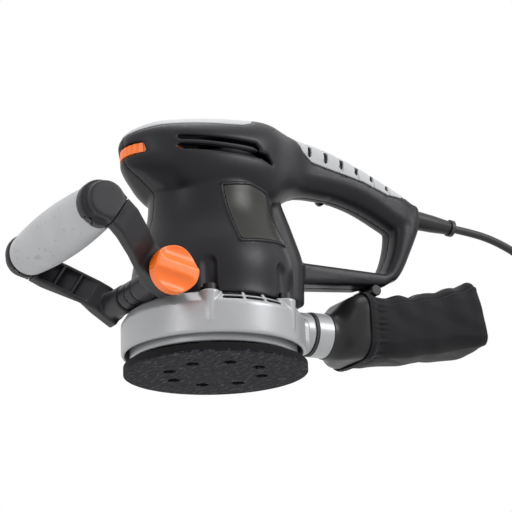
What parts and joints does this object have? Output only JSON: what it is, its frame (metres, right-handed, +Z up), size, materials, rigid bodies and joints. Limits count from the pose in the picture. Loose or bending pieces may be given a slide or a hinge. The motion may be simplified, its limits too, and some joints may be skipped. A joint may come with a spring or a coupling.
{
  "type": "random orbital sander",
  "caption": "Electric random orbital sander with a round perforated hook pad, silver dust skirt, rear D handle, hinged front grip and cloth dust bag on a rear port.",
  "frame": {"origin": "motor axis on the working face of the sanding pad", "axes": "+Z up along the motor axis; +X towards the rear handle, dust bag and mains cord; -Y the side with the handle clamp knob"},
  "size_m": [0.4744, 0.15, 0.1811],
  "materials": {
    "body_plastic": "satin",
    "handle_plastic": "satin",
    "soft_grip": "matte",
    "orange_plastic": "satin",
    "skirt_plastic": "satin",
    "badge": "satin",
    "black_plastic": "satin",
    "pad_foam": "matte",
    "hook_fabric": "fuzzy",
    "bag_cloth": "woven",
    "cord_rubber": "satin",
    "steel": "machined",
    "screw_black": "blackened",
    "laminations": "matte",
    "copper": "satin",
    "brass": "satin",
    "carbon": "matte",
    "aluminium": "cast",
    "seal_rubber": "matte",
    "board": "satin"
  },
  "bodies": {
    "casing": {"housing_left": "body_plastic", "housing_right": "body_plastic", "palm_pad": "soft_grip", "rear_grip_pad": "soft_grip", "badge_left": "badge", "badge_right": "badge", "housing_screws": "screw_black", "switch_body": "black_plastic", "speed_module": "board", "capacitor": "black_plastic", "cord_clamp": "black_plastic", "strain_relief": "cord_rubber", "bag_rest_pin": "black_plastic", "stator_core": "laminations", "field_coils": "copper", "brush_holders": "brass", "carbon_brushes": "carbon", "brush_springs": "steel", "upper_bearing": "steel", "lower_bearing": "steel", "bearing_bracket": "aluminium", "base_skirt": "skirt_plastic", "skirt_screws": "screw_black", "port_o_ring": "seal_rubber", "power_cord": "cord_rubber", "cord_coil": "cord_rubber", "cord_tail": "cord_rubber", "plug_body": "cord_rubber", "plug_pins": "steel"},
    "rotor": {"armature_shaft": "steel", "armature_core": "laminations", "armature_windings": "copper", "commutator": "copper", "cooling_fan": "black_plastic", "eccentric_hub": "steel", "counterweight": "laminations"},
    "pad": {"pad_bearing": "steel", "pad_carrier": "aluminium", "pad_screws": "screw_black", "backing_pad": "pad_foam", "hook_face": "hook_fabric"},
    "front_handle": {"handle_arm_left": "handle_plastic", "handle_arm_right": "handle_plastic", "grip_core": "black_plastic", "front_grip": "soft_grip", "handle_cap_screws": "screw_black", "clamp_nut": "steel"},
    "knob": {"clamp_knob": "orange_plastic", "clamp_bolt": "steel", "clamp_washer": "steel"},
    "dial": {"speed_dial": "orange_plastic"},
    "rocker": {"switch_rocker": "orange_plastic"},
    "dust_box": {"adapter_ring": "skirt_plastic", "bag_hopper": "black_plastic", "bag_band": "bag_cloth", "dust_bag": "bag_cloth"}
  },
  "joints": [
    {"name": "motor_spin", "type": "hinge", "parent": "casing", "child": "rotor", "pos_m": [0, 0, 0.08], "axis": [0, 0, 1], "continuous": true},
    {"name": "pad_spin", "type": "hinge", "parent": "rotor", "child": "pad", "pos_m": [0.00125, 0, 0.016], "axis": [0, 0, 1], "continuous": true},
    {"name": "front_handle_tilt", "type": "hinge", "parent": "casing", "child": "front_handle", "pos_m": [-0.0585, 0, 0.05], "axis": [0, 1, 0], "range_deg": [-28, 28]},
    {"name": "clamp_knob_turn", "type": "hinge", "parent": "front_handle", "child": "knob", "pos_m": [-0.0585, -0.055, 0.05], "axis": [0, -1, 0], "range_deg": [-720, 0]},
    {"name": "speed_dial_turn", "type": "hinge", "parent": "casing", "child": "dial", "pos_m": [-0.043, 0, 0.1484], "axis": [0, 0, 1], "range_deg": [-120, 120]},
    {"name": "switch_rock", "type": "hinge", "parent": "casing", "child": "rocker", "pos_m": [0.034, 0.0362, 0.152], "axis": [0, 0, 1], "range_deg": [0, 18]},
    {"name": "dust_bag_pull", "type": "slide", "parent": "casing", "child": "dust_box", "axis": [1, 0, 0], "range_m": [0, 0.03]}
  ]
}
